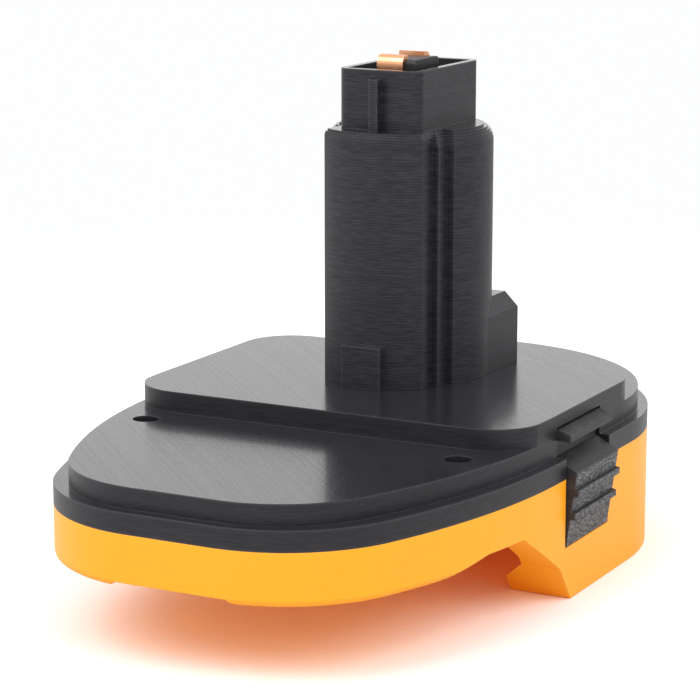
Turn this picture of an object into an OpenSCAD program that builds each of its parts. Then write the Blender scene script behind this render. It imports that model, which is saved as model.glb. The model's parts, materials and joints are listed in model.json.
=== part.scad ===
// Tool battery adapter: a slide-on pack receiver below, a plug-in post above.
// Millimetres. +Z is up, +Y runs from the front edge to the rear, Z = 0 is the surface under the feet.

/* [Body outline] */
// Width across the straight sides
body_w = 86; // [84:0.5:90]
// Length from the front edge to the rear edge
body_l = 142.5; // [139:0.5:149]
// Radius of the long curve of each side toward the front
side_r = 132; // [120:1:145]
// Radius of the two front corners
front_r = 27; // [24:0.5:30]
// Distance from the front edge to where the sides start to curve in
side_start = 66.5; // [63:0.5:70]

/* [Levels] */
// Height of the pack space from the ground to the deck above it
foot_h = 16; // [15:0.1:17.5]
// How far the front of the deck hangs lower than the rest
chin_drop = 2.1; // [1.6:0.1:2.6]
// Rounding of the hanging part's lower edge
chin_round = 1.2; // [0.6:0.1:1.5]
// Thickness of the deck from its underside to the cover seam
deck_h = 7.3; // [7:0.1:8.5]
// Height of the cover's outer rim band
rim_h = 3.8; // [3.2:0.1:4.6]
// Height of the set-in step above the rim
step_h = 3.9; // [3.2:0.1:4.6]
// Set-in of that step from the rim
step_in = 2; // [1.5:0.1:2.4]
// Radius of the step's long side curves before the set-in
step_side_r = 120; // [112:1:130]
// Radius of the step's front corners before the set-in
step_front_r = 25; // [23:0.5:28]
// Height of the raised plateau above the step
plateau_h = 4; // [3.4:0.1:4.8]

/* [Walls and clearances] */
// Side wall of the base
base_wall = 3; // [2.4:0.1:3.4]
// Floor of the base
floor_t = 2.4; // [2:0.1:3]
// Side wall of the cover
cover_wall = 2.4; // [2:0.1:3]
// Top skin of the cover's step
cover_top = 2.2; // [1.8:0.1:2.6]
// Top skin of the plateau
plateau_top = 2.4; // [2:0.1:3]
// Depth of the cover's locating lip inside the base
lip_depth = 2; // [1.5:0.1:2.6]
// Thickness of that lip
lip_t = 1.4; // [1.1:0.1:1.8]
// Gap between parts that locate each other
fit_clr = 0.2; // [0.1:0.05:0.3]
// Gap round a sliding latch
slide_clr = 0.4; // [0.3:0.05:0.6]

/* [Plateau] */
// Distance from the body's front edge to the plateau's front edge
plateau_from = 51.5; // [50:0.5:54]
// Length of the plateau
plateau_l = 57; // [56.5:0.5:60]
// Radius of its corners
plateau_r = 10; // [7:0.5:12]

/* [Pack channel] */
// Width between the tips of the two rails
rail_gap = 62; // [60:0.5:64]
// Width of the grooves above the rails
groove_w = 73; // [72:0.25:73.5]
// Height of the rail's tip
rail_tip_h = 3.2; // [2.6:0.1:4]
// Height of the rail at the foot of the groove's wall
rail_root_h = 6.8; // [6:0.1:7.4]
// Width of the rail's sloped top
rail_slope_w = 4.2; // [3.6:0.1:4.8]
// Height where the groove's wall turns upright
groove_bend_h = 9.6; // [8.6:0.1:10.6]
// Rounding of the groove's upper edge
groove_r = 3; // [2:0.1:3.6]
// Length of the rear block, from the channel's end wall to the rear edge
rear_l = 31.75; // [30:0.25:34]
// Thickness of the end wall that carries the terminal block
end_wall = 5; // [4.8:0.1:6]
// Distance from the front edge to the top of the sloped foot face
foot_top_from = 51.3; // [50:0.1:53]
// Distance from the front edge to the bend in the sloped foot face
foot_bend_from = 65.5; // [63:0.1:67]
// Height of that bend
foot_bend_h = 7; // [6:0.1:8]
// Distance from the front edge to the toe of the foot
foot_toe_from = 70.75; // [69:0.25:73]
// Distance from the front edge to the start of the ramp behind the chin
ramp_from = 28.75; // [26:0.25:31]
// Length of that ramp
ramp_l = 11.5; // [9:0.5:15]
// Width of the shallow relief in the chin's edge
relief_w = 22; // [19:0.5:26]
// Depth of that relief
relief_h = 0.8; // [0.5:0.1:1.2]
// Length of the slot that the pack's own catch drops into
catch_l = 6; // [5:0.5:8]
// Distance from the front edge to that slot
catch_from = 15; // [12:0.5:16.5]
// Depth of that slot
catch_h = 3; // [2.4:0.1:3.4]

/* [Latches] */
// Distance from the front edge to the middle of each latch
latch_from = 77.9; // [76:0.1:80]
// Width of a latch
latch_w = 19.6; // [18:0.2:21]
// Distance from the cover seam down to the button's lower edge
button_drop = 12.9; // [12:0.1:13.4]
// Distance from the cover seam up to the button's upper edge
button_rise = 1.3; // [0.8:0.1:1.8]
// How far the button's upper edge stands out of the body
button_out = 2; // [1.4:0.1:2.4]
// Thickness of the button at its lower edge
button_t = 1.9; // [1.5:0.1:2.1]
// Distance from the rim's top down to the top of the button's sloped shoulder
shoulder_drop = 0.7; // [0.4:0.1:1]
// Thickness of the tooth at its outer edge
tooth_t = 1.3; // [1:0.1:1.5]
// Rise of the tooth's top toward the plateau
tooth_rise = 0.8; // [0.5:0.1:0.9]
// How far the tooth stands out of the plateau's side
tooth_out = 2.6; // [2:0.1:2.8]
// Thickness of the latch's slide behind the plateau's side
slide_t = 4.2; // [3.6:0.1:4.6]
// How far the retaining ears reach past the latch's width
ear_out = 2.2; // [1.6:0.1:3]
// Height of the grip ribs
rib_h = 1.7; // [1.4:0.1:2]
// How far the grip ribs stand out
rib_out = 0.9; // [0.7:0.1:1.1]
// Distance between the two grip ribs
rib_pitch = 4.4; // [4:0.1:4.8]
// Distance from the button's upper edge down to the first rib
rib_from = 3.9; // [3:0.1:4.4]

/* [Latch springs] */
// Outside diameter of a spring
spring_d = 6; // [5.6:0.1:6.6]
// Wire diameter
spring_wire = 0.7; // [0.5:0.05:0.8]
// Length of a spring as fitted
spring_l = 9.2; // [8.6:0.1:10]
// Number of turns
spring_turns = 6; // [5:1:7]
// Diameter of the pegs that hold the spring's ends
peg_d = 3.8; // [3:0.1:4]
// Length of those pegs
peg_l = 2.5; // [2:0.1:2.6]
// Height of the spring's axis above the base floor
spring_up = 6.6; // [6:0.1:7]
// Thickness of the rib that the spring pushes on
stop_t = 2.4; // [2:0.1:3]
// Width of that rib
stop_w = 10; // [8:0.5:12]

/* [Post] */
// Distance from the plateau's front edge to the post's nose
post_from = 19.7; // [19:0.1:20.2]
// Height of the post above the plateau
post_h = 48.2; // [46:0.2:52]
// Width of the narrow nose
nose_w = 20.6; // [19.6:0.2:21.6]
// Radius of the nose's front face
nose_r = 17.4; // [15:0.2:20]
// Distance from the nose to the first side step
nose_l = 7.4; // [7:0.1:8]
// Width at the first side step
neck_w = 23.4; // [22.6:0.2:24.2]
// Distance from the first side step to the round shank's front face
neck_l = 3.5; // [2.9:0.1:4.1]
// Radius of the round shank
post_r = 15.7; // [15.4:0.1:16.4]
// Distance from the nose to the shank's axis
post_axis_from = 19.45; // [19:0.05:19.8]
// Rounding of the shank's shoulder
post_round = 3; // [2.4:0.1:3.2]
// Rounding of the nose's upper edge
nose_round = 1.2; // [0.8:0.1:1.6]
// Wall of the post
post_wall = 2; // [1.6:0.1:2.4]
// Floor of the post
post_floor = 2.4; // [2:0.1:3]
// Width of the collar that locates the post in the plateau
collar_w = 10.4; // [9.6:0.2:10.8]
// Length of that collar
collar_l = 17; // [16:0.2:18]
// Wall of that collar
collar_t = 1.4; // [1.1:0.1:1.5]
// Distance from the nose to that collar
collar_from = 8.35; // [8.2:0.05:8.8]
// How far the collar reaches below the plateau's skin
collar_below = 1.2; // [0.6:0.1:2]
// Width of the locating tab at the foot of the nose
tab_w = 8.1; // [7:0.1:9]
// Height of that tab
tab_h = 8.2; // [7:0.1:9.4]
// How far that tab stands out
tab_out = 1.7; // [1.2:0.1:2.2]
// Width across the heel block at the rear foot of the post
heel_w = 31.2; // [30:0.2:32.4]
// Length of the heel block
heel_l = 14.4; // [14:0.1:15]
// Height of the heel block's straight side
heel_h = 11; // [9:0.2:13]
// Chamfer along the heel block's top edges
heel_chamfer = 2.8; // [2:0.1:3.4]

/* [Contact box] */
// Width of the open box on top of the post
box_w = 17; // [16.6:0.2:17.6]
// Length of that box
box_l = 26.8; // [26.4:0.2:27]
// Height of that box
box_h = 11.3; // [10:0.1:12.5]
// Wall of that box
box_wall = 1.4; // [1:0.1:1.6]
// Radius of its corners
box_r = 2.2; // [1.8:0.1:3]
// Distance from the nose to the box's front face
box_from = 5.1; // [4.8:0.1:6]
// Width of the key rib on the box's front
key_w = 1.9; // [1.4:0.1:2.4]
// How far the key rib stands out
key_out = 2; // [1.5:0.1:2.2]
// Height of the key rib
key_h = 9.7; // [8:0.1:9.9]
// Depth of the solid ring below the shoulder
ring_t = 8.2; // [8:0.1:10]

/* [Post contacts] */
// Width of the insulating carrier's stem
carrier_w = 7.8; // [7:0.2:8.6]
// How far the stem's middle lies to the right of the strips' middle
carrier_shift = 1; // [0.6:0.1:1.4]
// Length of that stem
carrier_l = 10.1; // [9.6:0.1:12]
// Distance from the box's front face to the stem
carrier_from = 5.75; // [5:0.05:6.2]
// How far the stem rises above the box
carrier_rise = 1.5; // [1:0.1:2.2]
// Thickness of the carrier's flange
flange_t = 3; // [2.5:0.1:3.5]
// Width of a contact strip
contact_w = 5.4; // [4.6:0.1:6]
// Thickness of a contact strip
contact_t = 0.8; // [0.6:0.05:1]
// Length of the strip folded over the stem's top
fold_l = 1.6; // [1.2:0.1:2.4]
// Length of strip below the flange at full width
strip_below = 6; // [5:0.2:8]
// Length of the narrow solder tail
tail_l = 8; // [7:0.2:9]
// Width of the narrow solder tail
tail_w = 2.8; // [2.2:0.1:2.9]

/* [Pack terminals] */
// Distance between the two blades
blade_gap = 18; // [16:0.5:20]
// Thickness of a blade
blade_t = 1; // [0.8:0.05:1.2]
// Height of a blade
blade_h = 7.4; // [6.6:0.1:8]
// Height of a blade's lower edge
blade_low = 5.6; // [5.2:0.1:6]
// How far the blades reach into the channel
blade_out = 14; // [12:0.5:16]
// How far the blades reach behind the block
blade_back = 6; // [5.4:0.1:6.6]
// Rise of the solder tail above the blade
blade_tail = 4.5; // [4:0.1:5]
// Width of the block in its window
window_w = 32; // [28:0.5:34]
// Height of the block in its window
window_h = 9.4; // [8.8:0.1:9.6]
// Width of the block's flange
block_w = 48; // [46:0.5:48.5]
// Height of the block's flange
block_h = 12; // [11.4:0.1:12.4]
// Thickness of the block's flange
block_t = 4; // [3.4:0.1:4.6]

/* [Screws and wires] */
// Shank diameter of the self-tapping screws
screw_d = 2.8; // [2.5:0.1:3]
// Head diameter
head_d = 4.6; // [4.2:0.1:4.7]
// Head height
head_h = 1.8; // [1.4:0.1:2.2]
// Diameter of the deep screw wells in the cover
well_d = 5; // [4.9:0.1:5.6]
// Plastic left under a screw head
seat_t = 3; // [2.6:0.1:3.6]
// Thread length in the base
base_bite = 6; // [5.4:0.1:6.2]
// Thread length in the post
post_bite = 8; // [6:0.2:9]
// Thread length in the ring below the shoulder
ring_bite = 6; // [5:0.2:6.4]
// Thread length in the channel's end wall
wall_bite = 4; // [3.4:0.1:4.2]
// Diameter of the screw bosses
boss_d = 8.4; // [7.8:0.2:8.8]
// Diameter of the screw bosses in the post
post_boss_d = 6; // [5.4:0.2:6.4]
// Distance from the nose's sides to the axes of the front pair of bosses
post_boss_in = 4.3; // [4:0.1:4.6]
// Distance from the heel block's sides to the axes of the rear pair of bosses
heel_boss_in = 6.2; // [5.8:0.1:6.8]
// Distance from the nose to the front pair of bosses
post_boss_front = 5.15; // [4.9:0.05:5.3]
// Distance from the post's rear to the rear pair of bosses
post_boss_rear = 7.6; // [7.2:0.1:8.2]
// Distance between the front pair of cover screws
front_screws = 64.2; // [62:0.2:66]
// Distance from the front edge to that pair
front_screws_from = 44.9; // [43:0.1:45.5]
// Gap between the terminal block and the bosses of the rear cover screws
boss_clr = 0.8; // [0.5:0.1:1.4]
// Distance from the rear edge to those screws
rear_screws_from = 22.75; // [22:0.25:23.5]
// Outside diameter of a wire
wire_d = 3; // [2.6:0.1:3.1]
// Outside diameter of a shrink sleeve
sleeve_d = 4.3; // [4:0.1:4.8]
// Length of a shrink sleeve
sleeve_l = 8.2; // [7:0.2:9]

/* [Hidden] */
$fn = 128;

orange = [0.99, 0.62, 0.14];
black = [0.16, 0.16, 0.17];
copper = [0.86, 0.56, 0.38];
brass = [0.80, 0.66, 0.36];
steel = [0.62, 0.63, 0.65];
red = [0.72, 0.10, 0.09];

// Overlap used where a cut has to run past a face
past = 1;
// Gap between faces that touch on the real object
touch = 0.05;
// Printed layers that show in the rounded lower edge of the deck's front, the shank's shoulder and the nose
chin_layers = 5;
shank_layers = 7;
nose_layers = 3;

// Body outline
half_w = body_w / 2;
front_y = -body_l / 2;
rear_y = body_l / 2;
rear_c_y = rear_y - half_w;
side_y = front_y + side_start;

// Levels
chin_z = foot_h - chin_drop;
floor_z = foot_h + floor_t;
seam_z = foot_h + deck_h;
rim_z = seam_z + rim_h;
step_z = rim_z + step_h;
plateau_z = step_z + plateau_h;
plate_z = plateau_z - plateau_top;
skin_z = step_z - cover_top;
shoulder_z = plateau_z + post_h;
box_z = shoulder_z + box_h;
ring_z = shoulder_z - ring_t;
flange_z = ring_z - flange_t;
carrier_z = box_z + carrier_rise;

// Places along the body
plateau_y = front_y + plateau_from;
plateau_end = plateau_y + plateau_l;
channel_y = rear_y - rear_l;
latch_y = front_y + latch_from;
nose_y = plateau_y + post_from;
neck_y = nose_y + nose_l;
post_y = neck_y + neck_l;
post_axis_y = nose_y + post_axis_from;
post_end = post_axis_y + post_r;
box_y = nose_y + box_from;
box_end = box_y + box_l;
carrier_y = box_y + carrier_from;
carrier_end = carrier_y + carrier_l;

// Cover cavity and lip
lip_in = base_wall + fit_clr;

// Latch, measured outward from the middle of the body
plateau_x = half_w - step_in;
cover_inner_x = plateau_x - cover_wall;
tooth_clear = 0.2;
latch_travel = tooth_out + tooth_clear;
ear_gap = 0.1;
web_in = 0.6;
web_x = plateau_x - web_in;
slide_x = web_x - slide_t;
ear_x = cover_inner_x - ear_gap;
button_x = half_w - button_t;
pocket_x = button_x - latch_travel - fit_clr;
slide_low = floor_z + fit_clr;
shoulder_out = 0.7;
shoulder_slope = 0.7;
shoulder_x = plateau_x + shoulder_out;
rib_taper = 0.25;
latch_half = latch_w / 2;
ear_low = seam_z + fit_clr;
button_low = seam_z - button_drop;
pocket_low = button_low - fit_clr;
button_high = seam_z + button_rise;
shoulder_high = rim_z - shoulder_drop;
tooth_top = plate_z - slide_clr;
tooth_low = tooth_top - tooth_rise - tooth_t;

// Latch spring
stop_x = slide_x - spring_l;
spring_z = floor_z + spring_up;
stop_over = 0.5;
stop_top = spring_z + spring_d / 2 + stop_over;
coil_r = (spring_d - spring_wire) / 2;
coil_pad = spring_wire / 2 + touch;

// Screws
shank_r = screw_d / 2;
pilot_r = shank_r + touch;
pass_clr = 0.25;
pass_r = shank_r + pass_clr;
tip_room = 0.5;
tip_share = 0.25;
recess_share = 0.62;
recess_w = 0.7;
recess_h = 0.9;
boss_cap = 1.5;
cover_spots = [
  [front_screws / 2, front_y + front_screws_from],
  [block_w / 2 + boss_clr + boss_d / 2, rear_y - rear_screws_from]
];
post_spots = [
  [nose_w / 2 - post_boss_in, nose_y + post_boss_front],
  [heel_w / 2 - heel_boss_in, post_end - post_boss_rear]
];
ring_spot_in = 1.4;
ring_spot_out = 2.4;
ring_spot = [box_w / 2 + ring_spot_out, carrier_end - ring_spot_in];

// How far the heel block reaches past the shank's rear
heel_out = 0.25;
heel_end = post_end + heel_out;

// Collar of the post in the plateau
collar_y = nose_y + collar_from;
collar_h = plateau_top + collar_below;

// Terminal block and blades
block_y = channel_y + end_wall;
block_end = block_y + block_t;
blade_mid = blade_low + blade_h / 2;
blade_x = blade_gap / 2;
blade_end = block_end + blade_back;
tail_y = blade_end - tail_w / 2;
tail_top = blade_low + blade_h + blade_tail;
block_screw_x = (window_w / 2 + block_w / 2) / 2;

// Flange of the carrier, measured from its stem, and the gap round a strip in it
flange_front = 2.4;
flange_rear = 7.6;
contact_clr = 0.1;

// Post contact tails
front_strip_y = carrier_y - contact_t / 2;
rear_strip_y = carrier_end + contact_t / 2;
strip_low = flange_z - strip_below;
tail_low = strip_low - tail_l;
sleeve_clr = 0.15;
sleeve_r = wire_d / 2 + sleeve_clr;
// Length of a contact's tail inside its sleeve
tail_cover = 3.6;

// Wire routes, from the blade's tail to the contact's tail
wire_rest_z = skin_z - 2.4;
wire_bend_y = tail_y - 9.5;
hole_positive_y = collar_y + collar_l - 3.8;
hole_negative_y = collar_y + 3.6;
function rise(side) = [
  [side * blade_x, tail_y, tail_top + touch], [side * blade_x, tail_y, tail_top + 2],
  [side * blade_x, tail_y, tail_top + 4.4], [side * blade_x, tail_y - 0.5, wire_rest_z - 2.7],
  [side * blade_x, tail_y - 1.5, wire_rest_z - 1.3], [side * blade_x, tail_y - 3, wire_rest_z - 0.3],
  [side * (blade_x - 0.1), tail_y - 5, wire_rest_z], [side * (blade_x - 0.6), wire_bend_y, wire_rest_z]
];
// A place between the hole in the collar and the bend behind the block
function between(hole, share) = hole + share * (wire_bend_y - hole);
route_positive = concat(rise(1), [
  [7.2, between(hole_positive_y, 0.76), wire_rest_z - 0.2],
  [5.8, between(hole_positive_y, 0.53), wire_rest_z - 0.4],
  [4.3, between(hole_positive_y, 0.35), wire_rest_z - 0.3],
  [3.1, between(hole_positive_y, 0.22), wire_rest_z + 0.6],
  [2.3, between(hole_positive_y, 0.10), plate_z - 3.8],
  [1.9, between(hole_positive_y, 0.03), plate_z - 1.4],
  [1.8, hole_positive_y, plateau_z - 0.6], [1.7, hole_positive_y, plateau_z + 4],
  [1.1, hole_positive_y, plateau_z + 9.5], [0.3, rear_strip_y, tail_low - 8],
  [0, rear_strip_y, tail_low - 4], [0, rear_strip_y, tail_low - touch]
]);
route_negative = concat(rise(-1), [
  [-7.4, between(hole_negative_y, 0.80), wire_rest_z - 0.2],
  [-6.2, between(hole_negative_y, 0.58), wire_rest_z - 0.4],
  [-4.9, between(hole_negative_y, 0.36), wire_rest_z - 0.4],
  [-3.6, between(hole_negative_y, 0.20), wire_rest_z - 0.1],
  [-2.7, between(hole_negative_y, 0.10), plate_z - 5],
  [-2.2, between(hole_negative_y, 0.03), plate_z - 2.4],
  [-2, hole_negative_y, plateau_z - 1.4], [-1.9, hole_negative_y - 0.3, plateau_z + 3],
  [-1.2, hole_negative_y - 0.9, plateau_z + 9], [-0.3, front_strip_y, tail_low - 8],
  [0, front_strip_y, tail_low - 4], [0, front_strip_y, tail_low - touch]
]);
wire_sides = 8;

// How far a front corner reaches past the long side curve, so that the two cross instead of just touching
corner_lap = 0.01;
// Middle of a front corner, and where that corner meets the long side curve
function corner_x(side, front) =
  half_w - side + sqrt(pow(side - front, 2) - pow(front_y + front - side_y, 2));
function blend_y(inset, side, front) =
  side_y + (side - inset) * (front_y + front - side_y) / (side - front);

function unit(v) = v / norm(v);
function heading(p, i) = unit(p[min(i + 1, len(p) - 1)] - p[max(i - 1, 0)]);
function square_to(v, along) = unit(v - (v * along) * along);
function ring_sides(p, v, i = 0) = i == len(p) ? [] :
  let (side = square_to(v, heading(p, i))) concat([side], ring_sides(p, side, i + 1));

function coil(x0, x1, turns) = let (steps = 8 * turns) [
  for (i = [0 : steps]) let (a = 360 * turns * i / steps)
    [x0 + (x1 - x0) * i / steps, latch_y + coil_r * cos(a), spring_z + coil_r * sin(a)]
];
spring_points = coil(stop_x + coil_pad, slide_x - coil_pad, spring_turns);
spring_gap = min([
  for (i = [0 : len(spring_points) - 1]) for (k = [i + 5 : 1 : len(spring_points) - 1])
    norm(spring_points[i] - spring_points[k])
]) - spring_wire;
echo("least gap between the turns of a latch spring", spring_gap);

// Shared shapes
module prism(z0, z1) {
  translate([0, 0, z0]) linear_extrude(z1 - z0) children();
}

module block(x0, x1, y0, y1, z0, z1) {
  translate([x0, y0, z0]) cube([x1 - x0, y1 - y0, z1 - z0]);
}

// A drawing in X and Z, drawn out along Y
module along_y(y0, y1) {
  translate([0, y1, 0]) rotate([90, 0, 0]) linear_extrude(y1 - y0) children();
}

// A drawing in Y and Z, drawn out along X
module along_x(x0, x1) {
  translate([x0, 0, 0]) rotate([90, 0, 90]) linear_extrude(x1 - x0) children();
}

module both_sides() {
  children();
  mirror([1, 0, 0]) children();
}

module tube(p, r, sides, first_side) {
  n = ring_sides(p, first_side);
  last = (len(p) - 1) * sides;
  points = [
    for (i = [0 : len(p) - 1]) for (k = [0 : sides - 1]) let (a = 360 * k / sides)
      p[i] + r * (cos(a) * n[i] + sin(a) * cross(heading(p, i), n[i]))
  ];
  walls = [
    for (i = [0 : len(p) - 2]) for (k = [0 : sides - 1])
      let (a = i * sides + k, b = i * sides + (k + 1) % sides)
        each [[a, a + sides, b + sides], [a, b + sides, b]]
  ];
  caps = [
    for (k = [1 : sides - 2]) each [[0, k, k + 1], [last, last + k + 1, last + k]]
  ];
  polyhedron(points, concat(walls, caps));
}

module rounded_2d(x, y0, y1, front, rear) {
  translate([-x, y0 + front]) square([2 * x, y1 - y0 - front - rear]);
  translate([-x + front, y0]) square([2 * (x - front), front]);
  translate([-x + rear, y1 - rear]) square([2 * (x - rear), rear]);
  for (s = [-1, 1]) {
    translate([s * (x - front), y0 + front]) circle(front);
    translate([s * (x - rear), y1 - rear]) circle(rear);
  }
}

// Plan of the body: rear half circle, straight sides, long side curves and round front corners
module outline_2d(inset, side, front) {
  w = half_w - inset;
  x = corner_x(side, front) + corner_lap;
  cut = blend_y(inset, side, front);
  intersection() {
    translate([0, rear_c_y]) circle(w);
    translate([-half_w, rear_c_y]) square([body_w, half_w]);
  }
  translate([-w, side_y]) square([2 * w, rear_c_y - side_y]);
  intersection() {
    translate([half_w - side, side_y]) circle(side - inset);
    translate([side - half_w, side_y]) circle(side - inset);
    union() {
      for (s = [-1, 1]) translate([s * x, front_y + front]) circle(front - inset);
      translate([-x, front_y + inset]) square([2 * x, side_y - front_y - inset]);
      translate([-half_w, cut]) square([body_w, side_y - cut]);
    }
  }
}

module body_2d(inset = 0) {
  outline_2d(inset, side_r, front_r);
}

module step_2d(inset = 0) {
  outline_2d(step_in + inset, step_side_r, step_front_r);
}

module plateau_2d(inset = 0) {
  r = plateau_r - inset;
  intersection() {
    rounded_2d(plateau_x - inset, plateau_y + inset, plateau_end - inset, r, r);
    step_2d(inset);
  }
}

// A pan-head self-tapping screw that points down, its head's seat at z = 0
module screw(bite) {
  tip = screw_d;
  recess_l = head_d * recess_share;
  difference() {
    cylinder(h = head_h, r = head_d / 2);
    for (a = [0, 90]) rotate([0, 0, a])
      translate([-recess_l / 2, -recess_w / 2, head_h - recess_h]) cube([recess_l, recess_w, past]);
  }
  translate([0, 0, tip - bite]) cylinder(h = bite - tip, r = shank_r);
  translate([0, 0, -bite]) cylinder(h = tip, r1 = shank_r * tip_share, r2 = shank_r);
}

// Base
// The hanging front part, its lower edge rounded in printed layers
module chin() {
  layer = chin_round / chin_layers;
  intersection() {
    union() {
      for (k = [0 : chin_layers - 1])
        prism(chin_z + k * layer, chin_z + (k + 1) * layer)
          body_2d(chin_round - sqrt(pow(chin_round, 2) - pow(chin_round - (k + 0.5) * layer, 2)));
      prism(chin_z + chin_round, foot_h) body_2d();
    }
    along_x(-half_w - past, half_w + past) polygon([
      [front_y - past, chin_z - past], [front_y + ramp_from, chin_z - past], [front_y + ramp_from, chin_z],
      [front_y + ramp_from + ramp_l, foot_h], [front_y - past, foot_h]
    ]);
  }
}

module feet() {
  intersection() {
    prism(0, foot_h) body_2d();
    along_x(-half_w, half_w) polygon([
      [front_y + foot_top_from, foot_h], [front_y + foot_bend_from, foot_bend_h],
      [front_y + foot_toe_from, 0], [rear_y, 0], [rear_y, foot_h]
    ]);
  }
}

// The space for the pack: its rails' sloped tops, the grooves above them and their rounded upper edges
module pack_channel() {
  x = rail_gap / 2;
  wall = groove_w / 2;
  top = foot_h - groove_r;
  along_y(front_y + foot_top_from - past, channel_y) {
    polygon([
      [-x, -past], [x, -past], [x, rail_tip_h], [x + rail_slope_w, rail_root_h], [wall, groove_bend_h],
      [wall, top], [-wall, top], [-wall, groove_bend_h], [-x - rail_slope_w, rail_root_h], [-x, rail_tip_h]
    ]);
    translate([-wall + groove_r, top]) square([2 * (wall - groove_r), groove_r]);
    for (s = [-1, 1]) translate([s * (wall - groove_r), top]) circle(groove_r);
  }
}

module chin_relief() {
  catch_y = front_y + catch_from;
  along_y(front_y - past, catch_y + catch_l) polygon([
    [-relief_w / 2 - relief_h - past, chin_z - past], [relief_w / 2 + relief_h + past, chin_z - past],
    [relief_w / 2, chin_z + relief_h], [-relief_w / 2, chin_z + relief_h]
  ]);
  block(-relief_w / 2, relief_w / 2, catch_y, catch_y + catch_l, chin_z, chin_z + catch_h);
}

module base_hollow() {
  prism(floor_z, seam_z + past) body_2d(base_wall);
  intersection() {
    prism(floor_t, seam_z + past) body_2d(base_wall);
    block(-half_w, half_w, block_y, rear_y, floor_t, seam_z + past);
  }
}

module spring_stop() {
  block(stop_x - stop_t, stop_x, latch_y - stop_w / 2, latch_y + stop_w / 2, foot_h + floor_t / 2, stop_top);
  translate([stop_x, latch_y, spring_z]) rotate([0, 90, 0]) cylinder(h = peg_l, r = peg_d / 2);
}

module base_bosses() {
  for (spot = cover_spots) {
    low = spot[1] > channel_y ? 0 : foot_h;
    translate([spot[0], spot[1], low]) cylinder(h = seam_z - low, r = boss_d / 2);
  }
}

module base_shell() {
  color(orange) difference() {
    union() {
      difference() {
        union() {
          prism(foot_h, seam_z) body_2d();
          chin();
          feet();
        }
        pack_channel();
        chin_relief();
        base_hollow();
      }
      both_sides() {
        base_bosses();
        spring_stop();
      }
    }
    both_sides() {
      for (spot = cover_spots)
        translate([spot[0], spot[1], seam_z - base_bite - tip_room])
          cylinder(h = base_bite + tip_room + past, r = pilot_r);
      block(pocket_x, half_w + past, latch_y - latch_half - slide_clr, latch_y + latch_half + slide_clr,
        pocket_low, seam_z + past);
      translate([block_screw_x, block_y + past, blade_mid]) rotate([90, 0, 0])
        cylinder(h = wall_bite + tip_room + past, r = pilot_r);
    }
    block(-window_w / 2, window_w / 2, channel_y - past, block_y + past,
      blade_mid - window_h / 2, blade_mid + window_h / 2);
  }
}

// Cover
module cover_hollow() {
  prism(seam_z - past, skin_z) step_2d(cover_wall);
  prism(skin_z - past, plate_z) plateau_2d(cover_wall);
}

module cover_lip() {
  prism(seam_z - lip_depth, seam_z) difference() {
    body_2d(lip_in);
    body_2d(lip_in + lip_t);
  }
}

module latch_window() {
  block(slide_x - latch_travel - past, half_w + past, latch_y - latch_half - slide_clr,
    latch_y + latch_half + slide_clr, seam_z - lip_depth - past, plate_z);
}

module collar_2d(grow) {
  x = collar_w / 2 + grow;
  rounded_2d(x, collar_y - grow, collar_y + collar_l + grow, collar_t, collar_t);
}

module top_cover() {
  color(black) difference() {
    union() {
      difference() {
        union() {
          prism(seam_z, rim_z) body_2d();
          prism(rim_z, step_z) step_2d();
          prism(step_z, plateau_z) plateau_2d();
        }
        cover_hollow();
      }
      cover_lip();
      both_sides() for (spot = cover_spots)
        translate([spot[0], spot[1], seam_z]) cylinder(h = step_z - seam_z - cover_top / 2, r = boss_d / 2);
    }
    both_sides() {
      latch_window();
      for (spot = cover_spots) {
        translate([spot[0], spot[1], seam_z + seat_t]) cylinder(h = step_z, r = well_d / 2);
        translate([spot[0], spot[1], seam_z - past]) cylinder(h = seat_t + 2 * past, r = pass_r);
        translate([spot[0], spot[1], seam_z - lip_depth - past])
          cylinder(h = lip_depth + past, r = boss_d / 2 + fit_clr);
      }
      for (spot = post_spots)
        translate([spot[0], spot[1], plate_z - past]) cylinder(h = plateau_top + 2 * past, r = pass_r);
    }
    prism(plate_z - past, plateau_z + past) collar_2d(fit_clr);
  }
}

// Latches
module latch_2d() {
  polygon([
    [half_w, button_low], [half_w + button_out, button_high], [shoulder_x, shoulder_high],
    [web_x, shoulder_high + shoulder_slope], [web_x, tooth_low], [plateau_x + tooth_out, tooth_low],
    [plateau_x + tooth_out, tooth_low + tooth_t], [plateau_x, tooth_top], [slide_x, tooth_top],
    [slide_x, slide_low], [button_x, slide_low], [button_x, button_low]
  ]);
}

// Where the button's sloped face lies at a height
function button_face(z) = half_w + button_out * (z - button_low) / (button_high - button_low);

module grip_rib_2d(z) {
  polygon([
    [half_w, z - rib_h / 2], [button_face(z) + rib_out, z - rib_h / 2 + rib_taper],
    [button_face(z) + rib_out, z + rib_h / 2 - rib_taper], [half_w, z + rib_h / 2]
  ]);
}

module latch() {
  color(black) {
    along_y(latch_y - latch_half, latch_y + latch_half) {
      latch_2d();
      for (k = [0, 1]) grip_rib_2d(button_high - rib_from - k * rib_pitch);
    }
    block(slide_x, ear_x, latch_y - latch_half - ear_out, latch_y + latch_half + ear_out, ear_low, tooth_low);
    translate([slide_x - peg_l, latch_y, spring_z]) rotate([0, 90, 0]) cylinder(h = peg_l, r = peg_d / 2);
  }
}

module latch_right() {
  latch();
}

module latch_left() {
  mirror([1, 0, 0]) latch();
}

module latch_spring() {
  color(steel) tube(spring_points, spring_wire / 2, 6, [1, 0, 0]);
}

module latch_spring_right() {
  latch_spring();
}

module latch_spring_left() {
  mirror([1, 0, 0]) latch_spring();
}

// Post
module nose_2d(inset) {
  intersection() {
    translate([0, nose_y + nose_r]) circle(nose_r - inset);
    translate([-nose_w / 2 + inset, nose_y]) square([nose_w - 2 * inset, post_axis_from]);
  }
}

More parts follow.
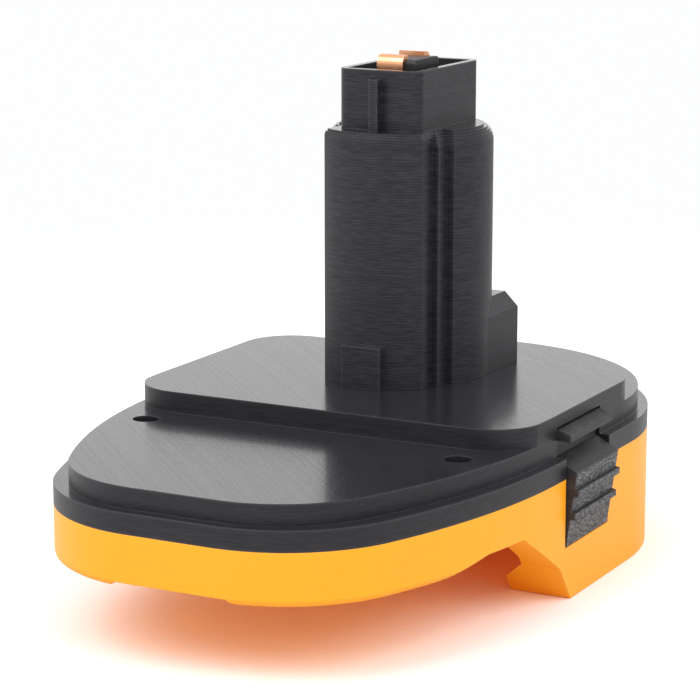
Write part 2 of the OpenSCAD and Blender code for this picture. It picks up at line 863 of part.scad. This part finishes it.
module neck_2d(inset) {
  translate([-neck_w / 2 + inset, neck_y + inset]) square([neck_w - 2 * inset, post_axis_y - neck_y - inset]);
}

module shank_2d(inset) {
  intersection() {
    translate([0, post_axis_y]) circle(post_r - inset);
    translate([-post_r, post_y + inset]) square([2 * post_r, 2 * post_r]);
  }
}

module post_2d(inset) {
  nose_2d(inset);
  neck_2d(inset);
  shank_2d(inset);
}

// Printed layers of a rounded shoulder, each drawn at its own set-in
module shoulder(round, layers) {
  layer = round / layers;
  for (k = [0 : layers - 1]) {
    $inset = round - sqrt(pow(round, 2) - pow((k + 0.5) * layer, 2));
    prism(shoulder_z - round - past, shoulder_z - round + (k + 1) * layer) children();
  }
}

module heel() {
  x = heel_w / 2;
  z = plateau_z + heel_h;
  along_y(heel_end - heel_l, heel_end) polygon([
    [-x, plateau_z], [x, plateau_z], [x, z], [x - heel_chamfer, z + heel_chamfer],
    [-x + heel_chamfer, z + heel_chamfer], [-x, z]
  ]);
}

module post_outer() {
  prism(plateau_z, shoulder_z - nose_round) nose_2d(0);
  shoulder(nose_round, nose_layers) nose_2d($inset);
  prism(plateau_z, shoulder_z - post_round) {
    neck_2d(0);
    shank_2d(0);
  }
  shoulder(post_round, shank_layers) {
    neck_2d($inset);
    shank_2d($inset);
  }
  heel();
  block(-tab_w / 2, tab_w / 2, nose_y - tab_out, nose_y + post_wall, plateau_z, plateau_z + tab_h);
  prism(shoulder_z - post_round, box_z) rounded_2d(box_w / 2, box_y, box_end, box_r, box_r);
  block(-key_w / 2, key_w / 2, box_y - key_out, box_y + box_wall,
    shoulder_z - post_round, shoulder_z + key_h);
  prism(plateau_z - collar_h, plateau_z) collar_2d(0);
}

module post_hollow() {
  inner_r = box_r - box_wall;
  prism(plateau_z + post_floor, ring_z) post_2d(post_wall);
  prism(ring_z - past, box_z + past)
    rounded_2d(box_w / 2 - box_wall, box_y + box_wall, box_end - box_wall, inner_r, inner_r);
  prism(plateau_z - collar_h - past, plateau_z + post_floor + past) collar_2d(-collar_t);
}

module post_shell() {
  color(black) difference() {
    union() {
      difference() {
        post_outer();
        post_hollow();
      }
      both_sides() for (spot = post_spots)
        translate([spot[0], spot[1], plateau_z])
          cylinder(h = post_bite + tip_room + boss_cap, r = post_boss_d / 2);
    }
    both_sides() {
      for (spot = post_spots)
        translate([spot[0], spot[1], plateau_z - past])
          cylinder(h = post_bite + tip_room + past, r = pilot_r);
      translate([ring_spot[0], ring_spot[1], ring_z - past])
        cylinder(h = ring_bite + tip_room + past, r = pilot_r);
    }
  }
}

// Post contacts and the carrier between them
module terminal_carrier() {
  slot_x = contact_w / 2 + contact_clr;
  color(black) difference() {
    union() {
      prism(flange_z, ring_z) intersection() {
        post_2d(post_wall + fit_clr);
        translate([-post_r, carrier_y - flange_front])
          square([2 * post_r, flange_front + carrier_l + flange_rear]);
      }
      along_x(carrier_shift - carrier_w / 2, carrier_shift + carrier_w / 2)
        translate([carrier_y + carrier_l / 2, 0])
          rounded_2d(carrier_l / 2, ring_z - past, carrier_z, contact_t / 2, contact_t);
    }
    block(-slot_x, slot_x, carrier_y - contact_t - contact_clr, carrier_y, flange_z - past, ring_z + past);
    block(-slot_x, slot_x, carrier_end, carrier_end + contact_t + contact_clr,
      flange_z - past, ring_z + past);
    both_sides() translate([ring_spot[0], ring_spot[1], flange_z - past])
      cylinder(h = flange_t + 2 * past, r = pass_r);
  }
}

// A strip on the stem's face at y, folded over the stem's top toward the middle
module contact(y, toward) {
  r = 2 * contact_t;
  out = y - toward * contact_t;
  top = carrier_z + contact_t;
  along_x(-contact_w / 2, contact_w / 2) translate([out, 0]) scale_to(toward) {
    translate([0, strip_low]) square([contact_t, top - r - strip_low]);
    translate([r, top - contact_t]) square([fold_l + contact_t - r, contact_t]);
    intersection() {
      translate([r, top - r]) difference() {
        circle(r);
        circle(r - contact_t);
      }
      translate([0, top - r]) square([r, r]);
    }
  }
  block(-tail_w / 2, tail_w / 2, min(out, y), max(out, y), tail_low, strip_low);
}

// Turns a drawing that runs toward +X round when it has to run the other way
module scale_to(toward) {
  if (toward > 0) children();
  else mirror([1, 0]) children();
}

module post_contact_negative() {
  color(copper) contact(carrier_y, 1);
}

module post_contact_positive() {
  color(copper) contact(carrier_end, -1);
}

// Pack terminals
module pack_terminal_block() {
  color(black) difference() {
    union() {
      block(-window_w / 2 + fit_clr, window_w / 2 - fit_clr, channel_y, block_y,
        blade_mid - window_h / 2 + fit_clr, blade_mid + window_h / 2 - fit_clr);
      block(-block_w / 2, block_w / 2, block_y, block_end, blade_mid - block_h / 2, blade_mid + block_h / 2);
    }
    both_sides() {
      block(blade_x - blade_t / 2 - touch, blade_x + blade_t / 2 + touch, channel_y - past, block_end + past,
        blade_low - touch, blade_low + blade_h + touch);
      translate([block_screw_x, block_end + past, blade_mid]) rotate([90, 0, 0])
        cylinder(h = block_t + 2 * past, r = pass_r);
    }
  }
}

module blade() {
  nip = 1.4;
  top = blade_low + blade_h;
  color(brass) along_x(blade_x - blade_t / 2, blade_x + blade_t / 2) polygon([
    [channel_y - blade_out + nip, blade_low], [blade_end, blade_low], [blade_end, tail_top],
    [blade_end - tail_w, tail_top], [blade_end - tail_w, top], [channel_y - blade_out + nip, top],
    [channel_y - blade_out, top - nip], [channel_y - blade_out, blade_low + nip]
  ]);
}

module pack_blade_positive() {
  blade();
}

module pack_blade_negative() {
  mirror([1, 0, 0]) blade();
}

// Screws
module cover_screws() {
  color(steel) both_sides() for (spot = cover_spots)
    translate([spot[0], spot[1], seam_z + seat_t]) screw(seat_t + base_bite);
}

module post_screws() {
  color(steel) both_sides() for (spot = post_spots)
    translate([spot[0], spot[1], plate_z]) mirror([0, 0, 1]) screw(plateau_top + post_bite);
}

module carrier_screws() {
  color(steel) both_sides()
    translate([ring_spot[0], ring_spot[1], flange_z]) mirror([0, 0, 1]) screw(flange_t + ring_bite);
}

module terminal_block_screws() {
  color(steel) both_sides()
    translate([block_screw_x, block_end, blade_mid]) rotate([-90, 0, 0]) screw(block_t + wall_bite);
}

// Wires and the sleeves over their soldered ends
module wire_positive() {
  color(red) tube(route_positive, wire_d / 2, wire_sides, [1, 0, 0]);
}

module wire_negative() {
  color(black) tube(route_negative, wire_d / 2, wire_sides, [1, 0, 0]);
}

module sleeve(x, y, z0) {
  translate([x, y, z0]) difference() {
    cylinder(h = sleeve_l, r = sleeve_d / 2);
    translate([0, 0, -past]) cylinder(h = sleeve_l + 2 * past, r = sleeve_r);
  }
}

// Each sleeve covers the whole lower tail or the end of the upper one, and runs on over the wire
module sleeves(x, y) {
  sleeve(x, tail_y, blade_low + blade_h + fit_clr);
  sleeve(0, y, tail_low + tail_cover - sleeve_l);
}

module shrink_sleeves_positive() {
  color(red) sleeves(blade_x, rear_strip_y);
}

module shrink_sleeves_negative() {
  color(black) sleeves(-blade_x, front_strip_y);
}

base_shell();
top_cover();
post_shell();
terminal_carrier();
post_contact_positive();
post_contact_negative();
latch_left();
latch_right();
latch_spring_left();
latch_spring_right();
cover_screws();
post_screws();
carrier_screws();
pack_terminal_block();
pack_blade_positive();
pack_blade_negative();
terminal_block_screws();
wire_positive();
wire_negative();
shrink_sleeves_positive();
shrink_sleeves_negative();
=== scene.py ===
import json
import math
import bpy
import bmesh
from mathutils import Euler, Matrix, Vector


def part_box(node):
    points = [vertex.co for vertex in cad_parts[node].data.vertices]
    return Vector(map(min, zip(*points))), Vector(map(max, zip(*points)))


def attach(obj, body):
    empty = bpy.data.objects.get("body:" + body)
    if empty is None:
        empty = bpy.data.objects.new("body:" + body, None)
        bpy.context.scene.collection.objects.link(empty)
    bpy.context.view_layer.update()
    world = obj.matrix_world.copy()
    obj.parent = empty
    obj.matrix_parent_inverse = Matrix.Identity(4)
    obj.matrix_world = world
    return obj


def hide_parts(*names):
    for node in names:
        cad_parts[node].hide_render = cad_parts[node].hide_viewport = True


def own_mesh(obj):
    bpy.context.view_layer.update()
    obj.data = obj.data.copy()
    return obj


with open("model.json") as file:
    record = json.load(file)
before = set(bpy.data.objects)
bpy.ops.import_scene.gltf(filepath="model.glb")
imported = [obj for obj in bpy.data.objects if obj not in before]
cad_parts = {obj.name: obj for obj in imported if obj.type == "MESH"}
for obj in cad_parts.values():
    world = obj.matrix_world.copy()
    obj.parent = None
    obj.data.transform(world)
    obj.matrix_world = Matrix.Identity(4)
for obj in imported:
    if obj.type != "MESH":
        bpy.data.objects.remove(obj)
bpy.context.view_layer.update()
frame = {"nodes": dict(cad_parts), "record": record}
nodes = frame["nodes"]
print("frame loaded with", len(nodes), "nodes")


# Shader tools

def colour(red, green, blue):
    return (red, green, blue, 1.0)


class Value:  # a shader socket that can stand in a sum
    def __init__(self, look, socket):
        self.look = look
        self.socket = socket

    def at(self, name):  # another output of the same node
        return Value(self.look, self.socket.node.outputs[name])

    def __add__(self, other):
        return self.look.maths("ADD", self, other)

    def __radd__(self, other):
        return self.look.maths("ADD", other, self)

    def __sub__(self, other):
        return self.look.maths("SUBTRACT", self, other)

    def __rsub__(self, other):
        return self.look.maths("SUBTRACT", other, self)

    def __mul__(self, other):
        return self.look.maths("MULTIPLY", self, other)

    def __rmul__(self, other):
        return self.look.maths("MULTIPLY", other, self)

    def __truediv__(self, other):
        return self.look.maths("DIVIDE", self, other)

    def __rtruediv__(self, other):
        return self.look.maths("DIVIDE", other, self)


class Look:  # a node tree being filled
    def __init__(self, name, tree=None):
        if tree is None:
            self.material = bpy.data.materials.new(name)
            self.material.use_nodes = True
            tree = self.material.node_tree
        self.tree = tree
        self.tree.nodes.clear()

    def add(self, kind, settings=None, sockets=None, out=0):
        node = self.tree.nodes.new(kind)
        for key, value in (settings or {}).items():
            setattr(node, key, value)
        for key, value in (sockets or {}).items():
            if isinstance(value, Value):
                self.tree.links.new(value.socket, node.inputs[key])
            else:
                node.inputs[key].default_value = value
        return Value(self, node.outputs[out]) if len(node.outputs) else None

    def maths(self, operation, *values):
        return self.add("ShaderNodeMath", {"operation": operation}, dict(enumerate(values)))

    def size(self, value):  # without its sign
        return self.maths("ABSOLUTE", value)

    def larger(self, first, second):
        return self.maths("MAXIMUM", first, second)

    def ramp(self, value, low, high):  # 0 at low, 1 at high, soft between
        return self.add("ShaderNodeMapRange", {"interpolation_type": "SMOOTHSTEP"},
                        {"Value": value, "From Min": low, "From Max": high})

    def seam(self, count, start):  # 1 between two lines, 0 from start to the middle of a line
        return self.ramp(self.size(self.maths("FRACT", count) - 0.5) * 2, start, 1.0)

    def chance(self, count):  # a fixed random value for each line
        number = self.maths("FLOOR", count)
        return self.add("ShaderNodeTexWhiteNoise", {"noise_dimensions": "1D"}, {"W": number})

    def mixColour(self, factor, first, second):
        return self.add("ShaderNodeMix", {"data_type": "RGBA"}, {0: factor, 6: first, 7: second}, out=2)

    def split(self, vector):
        return self.add("ShaderNodeSeparateXYZ", None, {0: vector})

    def noise(self, vector, scale, detail=3.0, rough=0.5):
        return self.add("ShaderNodeTexNoise", None,
                        {"Vector": vector, "Scale": scale, "Detail": detail, "Roughness": rough})

    def stretched(self, vector, scales, detail=3.0, rough=0.5):  # noise with a scale for each direction
        vector = self.add("ShaderNodeVectorMath", {"operation": "MULTIPLY"}, {0: vector, 1: scales})
        return self.noise(vector, 1.0, detail, rough)

    def bump(self, height, strength, more=None):
        sockets = {"Strength": strength, "Distance": 1.0, "Height": height}
        return self.add("ShaderNodeBump", None, {**sockets, **(more or {})})

    def surface(self, sockets):
        shader = self.add("ShaderNodeBsdfPrincipled", None, sockets)
        self.add("ShaderNodeOutputMaterial", None, {"Surface": shader})


# Printed plastic

walls = {
    "layer": 0.0005,           # step of the layer lines that show, m
    "depth": 0.000016,         # how deep they show, m
    "seam": 0.35,              # where a layer starts to dip, from its middle to its edge
    "dash": (330, 330, 4400),  # scale of the dashes along a layer
    "dashHeight": 0.8,         # shares of the depth
    "errorHeight": 0.15,
    "seamHeight": 0.35,
    "errorTone": 0.10,         # shares of the pale streaks
    "seamTone": 0.12,
    "streakFrom": 0.34,
    "streakFull": 0.68,
    "dashGloss": 0.20,         # changes of the roughness
    "seamGloss": 0.08,
    "postFrom": 0.0345,        # height where the plain body ends and the rougher post starts, m
    "postFull": 0.0360,
}
tops = {
    "from": 0.80,              # a face looks like a top once its normal points up this far
    "full": 0.95,
    "line": 0.00042,           # width of one line, m
    "slant": 0.7071,           # the lines lie at 45 degrees
    "depth": 0.000010,         # how deep they show, m
    "seam": 0.45,              # where a line starts to dip, from its middle to its edge
    "crossSeam": 0.55,         # the same for the crossing lines below
    "flow": (900, 900, 900),   # scale of the uneven flow
    "flowHeight": 0.3,         # shares of the depth
    "seamHeight": 0.6,
    "crossHeight": 0.5,
    "errorTone": 0.12,         # how far lines differ in tone
    "seamGloss": 0.09,         # changes of the roughness
    "crossGloss": 0.04,
    "coatSeam": 0.4,           # sheen that a groove loses
    "coatLeast": 0.9,          # sheen of the dullest line
    "coatError": 0.2,          # how much more the glossiest has
}
edges = {
    "round": 0.00030,          # how far an edge is rounded by the nozzle, m
    "wearAndHighlightReach": 0.00060,           # how far in from a convex edge it is painted paler, partly rubbed wear and partly a painted highlight, m
    "wearAndHighlightFrom": 0.10,
    "wearAndHighlightFull": 0.60,
    "wearAndHighlightShare": 0.6,
    "samples": 4,
    "cloud": 45.0,             # scale of the uneven gloss over a whole face
    "cloudGloss": 0.06,
}
orangePrint = {
    "name": "orangePrint",
    "colour": colour(0.985, 0.400, 0.010),
    "streak": colour(0.99, 0.435, 0.018),
    "wearAndHighlight": colour(1.0, 0.50, 0.05),
    "rough": 0.40, "topRough": 0.36, "topCoat": 0.0, "topTone": 0.4, "shine": 0.30,
    "lines": 0.30, "postLines": 0.30,
    "paintedGlow": {  # painted glow: a faint red emission that stands in for light passed through the orange plastic into its shaded faces
        "Emission Color": colour(1.0, 0.08, 0.0),
        "Emission Strength": 0.10,
    },
}
blackPrint = {
    "name": "blackPrint",
    "colour": colour(0.0120, 0.0108, 0.0130),
    "streak": colour(0.030, 0.0280, 0.0325),
    "wearAndHighlight": colour(0.075, 0.071, 0.078),
    "rough": 0.40, "topRough": 0.14, "topCoat": 0.60, "topTone": 0.55, "shine": 0.31,
    "lines": 0.45, "postLines": 0.95,
}
latchPrint = {
    "name": "latchPrint",
    "colour": colour(0.015, 0.0142, 0.0158),
    "streak": colour(0.192, 0.196, 0.206),
    "wearAndHighlight": colour(0.060, 0.058, 0.062),
    "rough": 0.50, "topRough": 0.46, "topCoat": 0.0, "topTone": 0.05, "shine": 0.36,
    "lines": 0.12, "postLines": 0.12,
    "torn": {  # strands torn off with the supports
        "strands": (2400, 1000, 3800),
        "strandRough": 0.65,
        "depth": 0.00016,
        "scuff": 0.9,              # how pale they are
        "scuffFrom": 0.46,
        "scuffFull": 0.60,
        "faceFrom": 0.5,           # on faces turned this far to the side
        "faceFull": 0.8,
        "below": 0.0247,           # and under the tooth, m
        "fade": 0.0006,
    },
}
carrierPrint = {
    "name": "carrierPrint",
    "colour": colour(0.012, 0.0115, 0.013),
    "streak": colour(0.026, 0.025, 0.028),
    "wearAndHighlight": colour(0.060, 0.058, 0.062),
    "rough": 0.42, "topRough": 0.40, "topCoat": 0.0, "topTone": 0.4, "shine": 0.40,
    "lines": 0.7, "postLines": 0.7,
}


def printedLook(make):
    look = Look(make["name"])
    place = look.add("ShaderNodeTexCoord", out="Object")
    xyz = look.split(place)
    facing = look.split(look.add("ShaderNodeNewGeometry", out="Normal"))
    top = look.ramp(look.size(facing.at("Z")), tops["from"], tops["full"])
    side = 1 - top
    post = look.ramp(xyz.at("Z"), walls["postFrom"], walls["postFull"])
    shown = make["lines"] + post * (make["postLines"] - make["lines"])  # how much the layers show

    # walls: beads stacked in layers, each with its own small error
    storey = xyz.at("Z") / walls["layer"]
    dip = look.seam(storey, walls["seam"])
    layerError = look.chance(storey)
    dash = look.stretched(place, walls["dash"], 1.0)
    wall = walls["dashHeight"] * dash + walls["errorHeight"] * layerError - walls["seamHeight"] * dip
    streaks = look.ramp(dash + walls["errorTone"] * layerError - walls["seamTone"] * dip,
                        walls["streakFrom"], walls["streakFull"])
    wallGloss = make["rough"] + walls["dashGloss"] * shown * (dash - 0.5) + walls["seamGloss"] * dip * shown

    # tops: lines laid at 45 degrees, with the crossing lines below showing through
    across = (xyz.at("X") + xyz.at("Y")) * (tops["slant"] / tops["line"])
    along = (xyz.at("X") - xyz.at("Y")) * (tops["slant"] / tops["line"])
    groove = look.seam(across, tops["seam"])
    crossing = look.seam(along, tops["crossSeam"])
    lineError = look.chance(across)
    flow = look.stretched(place, tops["flow"], 2.0)
    flat = tops["flowHeight"] * flow - tops["seamHeight"] * groove - tops["crossHeight"] * crossing
    topTone = make["topTone"] + tops["errorTone"] * (lineError - 0.5)
    topGloss = make["topRough"] + tops["seamGloss"] * groove + tops["crossGloss"] * crossing
    coat = 0.0
    if make["topCoat"]:
        coat = make["topCoat"] * top * (1 - tops["coatSeam"] * groove)
        coat = coat * (tops["coatLeast"] + tops["coatError"] * lineError)

    height = wall * side * shown * walls["depth"] + flat * top * tops["depth"]
    tone = streaks * side * shown + topTone * top
    if "torn" in make:
        torn = make["torn"]
        strands = look.stretched(place, torn["strands"], 3.0, torn["strandRough"])
        where = look.ramp(look.size(facing.at("X")), torn["faceFrom"], torn["faceFull"])
        where = where * (1 - look.ramp(xyz.at("Z"), torn["below"] - torn["fade"], torn["below"]))
        height = height + (strands - 0.5) * where * torn["depth"]
        tone = tone + torn["scuff"] * look.ramp(strands, torn["scuffFrom"], torn["scuffFull"]) * where

    cloud = look.noise(place, edges["cloud"])
    rounded = look.add("ShaderNodeBevel", {"samples": edges["samples"]}, {"Radius": edges["round"]})
    inner = look.add("ShaderNodeAmbientOcclusion", {"inside": True, "samples": edges["samples"]},
                     {"Distance": edges["wearAndHighlightReach"]}, out="AO")
    # convex edges painted paler: partly rubbed wear, partly a painted highlight for the light that rounded
    # edges catch
    wearAndHighlight = look.ramp(1 - inner, edges["wearAndHighlightFrom"], edges["wearAndHighlightFull"]) * edges["wearAndHighlightShare"]
    clean = look.mixColour(tone, make["colour"], make["streak"])
    look.surface({
        "Base Color": look.mixColour(wearAndHighlight, clean, make["wearAndHighlight"]),
        "Roughness": wallGloss * side + topGloss * top + edges["cloudGloss"] * (cloud - 0.5),
        "Specular IOR Level": make["shine"],
        "Coat Weight": coat,
        "Coat Roughness": make["topRough"],
        "Normal": look.bump(height, 1.0, {"Normal": rounded}),
        # the painted glow of the orange plastic, where a finish has one
        **make.get("paintedGlow", {}),
    })
    return look.material


# Metal

metalWear = {
    "brushDepth": 0.00001,     # m
    "brushStrength": 0.5,
    "brushGloss": 0.10,
    "smudge": 260.0,           # scale of the dull patches
    "smudgeFrom": 0.42,
    "smudgeFull": 0.72,
    "smudgeTone": 0.55,
    "smudgeGloss": 0.14,
}
metals = {
    # slot: name, colour, colour of dull patches, roughness, scale of the brush lines
    "copper_strip": ("copperStrip", colour(0.98, 0.49, 0.265), colour(0.90, 0.42, 0.225), 0.28,
                     (2600, 60, 60)),
    "blade_brass": ("bladeBrass", colour(0.82, 0.63, 0.30), colour(0.62, 0.45, 0.20), 0.26,
                    (60, 60, 2200)),
    "screw_steel": ("screwSteel", colour(0.56, 0.57, 0.58), colour(0.38, 0.38, 0.38), 0.30,
                    (900, 900, 900)),
    "spring_steel": ("springSteel", colour(0.60, 0.61, 0.62), colour(0.42, 0.42, 0.43), 0.25,
                     (700, 700, 700)),
}


def metalLook(name, bright, dull, rough, brushScale):
    look = Look(name)
    place = look.add("ShaderNodeTexCoord", out="Object")
    brushed = look.stretched(place, brushScale)
    smudge = look.noise(place, metalWear["smudge"])
    patch = look.ramp(smudge, metalWear["smudgeFrom"], metalWear["smudgeFull"])
    look.surface({
        "Base Color": look.mixColour(metalWear["smudgeTone"] * patch, bright, dull),
        "Metallic": 1.0,
        "Roughness": rough + metalWear["smudgeGloss"] * patch + metalWear["brushGloss"] * (brushed - 0.5),
        "Normal": look.bump(brushed * metalWear["brushDepth"], metalWear["brushStrength"]),
    })
    return look.material


# Insulation and shrunk tube

softWear = {
    "wrinkle": 900.0,          # scale of the wrinkles
    "wrinkleDepth": 0.00003,   # m
    "wrinkleStrength": 0.6,
    "wrinkleGloss": 0.15,
    "rub": 210.0,              # scale of the rubbed patches
    "rubFrom": 0.45,
    "rubFull": 0.75,
    "rubTone": 0.4,
}
softs = {
    # slot: name, colour, colour of rubbed patches, roughness
    "red_insulation": ("redInsulation", colour(0.55, 0.025, 0.02), colour(0.66, 0.09, 0.07), 0.40),
    "black_insulation": ("blackInsulation", colour(0.018, 0.018, 0.019), colour(0.05, 0.05, 0.052), 0.42),
    "red_sleeve": ("redSleeve", colour(0.42, 0.02, 0.02), colour(0.55, 0.07, 0.06), 0.55),
    "black_sleeve": ("blackSleeve", colour(0.016, 0.016, 0.016), colour(0.045, 0.045, 0.045), 0.58),
}


def softLook(name, deep, pale, rough):
    look = Look(name)
    place = look.add("ShaderNodeTexCoord", out="Object")
    wrinkle = look.noise(place, softWear["wrinkle"])
    rub = look.ramp(look.noise(place, softWear["rub"], 2.0), softWear["rubFrom"], softWear["rubFull"])
    look.surface({
        "Base Color": look.mixColour(softWear["rubTone"] * rub, deep, pale),
        "Roughness": rough + softWear["wrinkleGloss"] * (wrinkle - 0.5),
        "Normal": look.bump(wrinkle * softWear["wrinkleDepth"], softWear["wrinkleStrength"]),
    })
    return look.material


finishes = {
    "orange_print": printedLook(orangePrint),
    "black_print": printedLook(blackPrint),
    "latch_print": printedLook(latchPrint),
    "carrier_plastic": printedLook(carrierPrint),
    **{slot: metalLook(*make) for slot, make in metals.items()},
    **{slot: softLook(*make) for slot, make in softs.items()},
}
for part in frame["record"]["subparts"]:
    mesh = nodes[part["node"]].data
    mesh.materials.clear()
    mesh.materials.append(finishes[part["material_slot"]])
print("finishes set:", len(finishes))


# Latch springs: round wire drawn in place of the CAD springs

springMake = {
    "turns": 6,
    "wire": 0.00070,    # m
    "steps": 28,        # points in a turn
    "sides": 10,        # sides of the wire
    "pressed": 0.0028,  # how far a latch travels, m
}


def makeSpring(side, sign):
    node = "latch_spring_" + side
    low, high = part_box(node)
    wireRadius = springMake["wire"] / 2
    middle = (low + high) / 2
    coilRadius = (high.z - low.z) / 2 - wireRadius
    start = (low.x if sign > 0 else high.x) + sign * wireRadius  # the end on the base's stop
    full = high.x - low.x
    length = full - springMake["wire"]
    count = springMake["turns"] * springMake["steps"]
    sides = springMake["sides"]
    along = Vector((1, 0, 0))
    mesh = bmesh.new()
    rings = []
    for i in range(count + 1):
        angle = 2 * math.pi * i / springMake["steps"]
        outward = Vector((0, math.cos(angle), math.sin(angle)))
        spot = Vector((start + sign * length * i / count, middle.y, middle.z)) + coilRadius * outward
        turns = [2 * math.pi * k / sides for k in range(sides)]
        rings.append([mesh.verts.new(spot + wireRadius * (math.cos(turn) * outward + math.sin(turn) * along))
                      for turn in turns])
    for first, second in zip(rings, rings[1:]):
        for k in range(sides):
            j = (k + 1) % sides
            mesh.faces.new((first[k], first[j], second[j], second[k]))
    mesh.faces.new(rings[0])
    mesh.faces.new(reversed(rings[-1]))
    bmesh.ops.recalc_face_normals(mesh, faces=mesh.faces)
    data = bpy.data.meshes.new("spring_" + side)
    mesh.to_mesh(data)
    mesh.free()
    for face in data.polygons:
        face.use_smooth = True
    data.materials.append(finishes["spring_steel"])
    spring = bpy.data.objects.new("spring_" + side, data)
    bpy.context.scene.collection.objects.link(spring)
    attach(spring, "adapter")
    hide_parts(node)
    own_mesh(spring)


makeSpring("left", -1)
makeSpring("right", 1)
print("springs made")


# Floor, light and camera

studio = {
    "floorSize": 12.0,
    "floorDrop": 0.0001,
    "floorColour": colour(0.86, 0.86, 0.865),
    "floorShadeRight": colour(0.50, 0.50, 0.505),  # painted shade: a darker floor to the right that the camera never sees, dimming the light bounced and reflected onto the object's right side
    "rightShadeFrom": (0.10, 0.20),    # how far to the right that starts and is full, m
    "floorSeen": colour(1.08, 1.08, 1.09),   # what the camera sees of the floor, bright enough to turn white
    "whiteSeen": (0.16, 0.42),   # the floor turns into the white backdrop between these distances, m
    "whiteGloss": (0.8, 2.0),    # and here where it shows in a gloss, m
    "backWhite": colour(0.985, 0.990, 1.0),
    "sky": (0.50, 1.10),         # level of the light at the horizon and overhead
    "skyFull": 0.75,             # how far up it is full
    "lamps": [
        # place, size in m, watts
        ((-0.55, -0.75, 1.10), 0.9, 7.5),
        ((0.95, -0.15, 0.95), 0.8, 5.0),
    ],
    "aim": (0, 0, 0.03),         # what the lamps point at
}
cameraSet = {
    "place": (0.2223, -0.42785, 0.1457),
    "tilt": 12.106,
    "turn": 27.783,
    "lens": 134.76,
    "sensor": 36.0,
    "near": 0.01,
    "far": 50,
}


def makeFloor():
    half = studio["floorSize"] / 2
    corners = [(-half, -half, 0), (half, -half, 0), (half, half, 0), (-half, half, 0)]
    data = bpy.data.meshes.new("floor")
    data.from_pydata(corners, [], [(0, 1, 2, 3)])
    floor = bpy.data.objects.new("floor", data)
    floor.location.z = -studio["floorDrop"]
    bpy.context.scene.collection.objects.link(floor)
    look = Look("paleFloor")
    seen = look.add("ShaderNodeLightPath", out="Is Camera Ray")
    place = look.add("ShaderNodeTexCoord", out="Object")
    reach = look.add("ShaderNodeVectorMath", {"operation": "LENGTH"}, {0: place}, out="Value")
    farSeen = look.ramp(reach, *studio["whiteSeen"])
    farGloss = look.ramp(reach, *studio["whiteGloss"])
    turn = math.radians(cameraSet["turn"])
    spot = look.split(place)
    # painted shade on the floor to the right, seen only in bounces and gloss
    aside = look.ramp(spot.at("X") * math.cos(turn) + spot.at("Y") * math.sin(turn), *studio["rightShadeFrom"])
    shadedPaper = look.mixColour(aside, studio["floorColour"], studio["floorShadeRight"])
    shade = look.mixColour(seen, shadedPaper, studio["floorSeen"])
    matte = look.add("ShaderNodeBsdfDiffuse", None, {"Color": shade})
    white = look.add("ShaderNodeEmission", None, {"Color": studio["backWhite"], "Strength": 1.0})
    gloss = look.larger(seen.at("Is Glossy Ray"), seen.at("Is Transmission Ray"))
    turned = look.larger(farSeen * seen, farGloss * gloss)
    mixed = look.add("ShaderNodeMixShader", None, {0: turned, 1: matte, 2: white})
    look.add("ShaderNodeOutputMaterial", None, {"Surface": mixed})
    data.materials.append(look.material)


def makeWorld():
    world = bpy.data.worlds.new("studio")
    world.use_nodes = True
    bpy.context.scene.world = world
    look = Look("studio", world.node_tree)
    seen = look.add("ShaderNodeLightPath", out="Is Camera Ray")
    anySeen = look.larger(look.larger(seen, seen.at("Is Glossy Ray")), seen.at("Is Transmission Ray"))
    up = look.split(look.add("ShaderNodeTexCoord", out="Generated")).at("Z")
    low, high = studio["sky"]
    sky = low + (high - low) * look.ramp(up, 0.0, studio["skyFull"])
    level = sky + anySeen * (1 - sky)
    back = look.add("ShaderNodeBackground", None, {"Color": studio["backWhite"], "Strength": level})
    look.add("ShaderNodeOutputWorld", None, {"Surface": back})


def makeLamps():
    aim = Vector(studio["aim"])
    for number, (place, size, watts) in enumerate(studio["lamps"]):
        data = bpy.data.lights.new("softbox%d" % number, "AREA")
        data.size = size
        data.energy = watts
        lamp = bpy.data.objects.new("softbox%d" % number, data)
        lamp.location = place
        lamp.rotation_euler = (aim - Vector(place)).to_track_quat("-Z", "Y").to_euler()
        bpy.context.scene.collection.objects.link(lamp)


def makeCamera():
    data = bpy.data.cameras.new("camera")
    data.sensor_width = cameraSet["sensor"]
    data.lens = cameraSet["lens"]
    data.clip_start = cameraSet["near"]
    data.clip_end = cameraSet["far"]
    camera = bpy.data.objects.new("camera", data)
    camera.location = cameraSet["place"]
    camera.rotation_euler = Euler((math.radians(90 - cameraSet["tilt"]), 0, math.radians(cameraSet["turn"])))
    bpy.context.scene.collection.objects.link(camera)
    bpy.context.scene.camera = camera


makeFloor()
makeWorld()
makeLamps()
makeCamera()
bpy.context.scene.view_settings.view_transform = "Standard"
print("studio set")
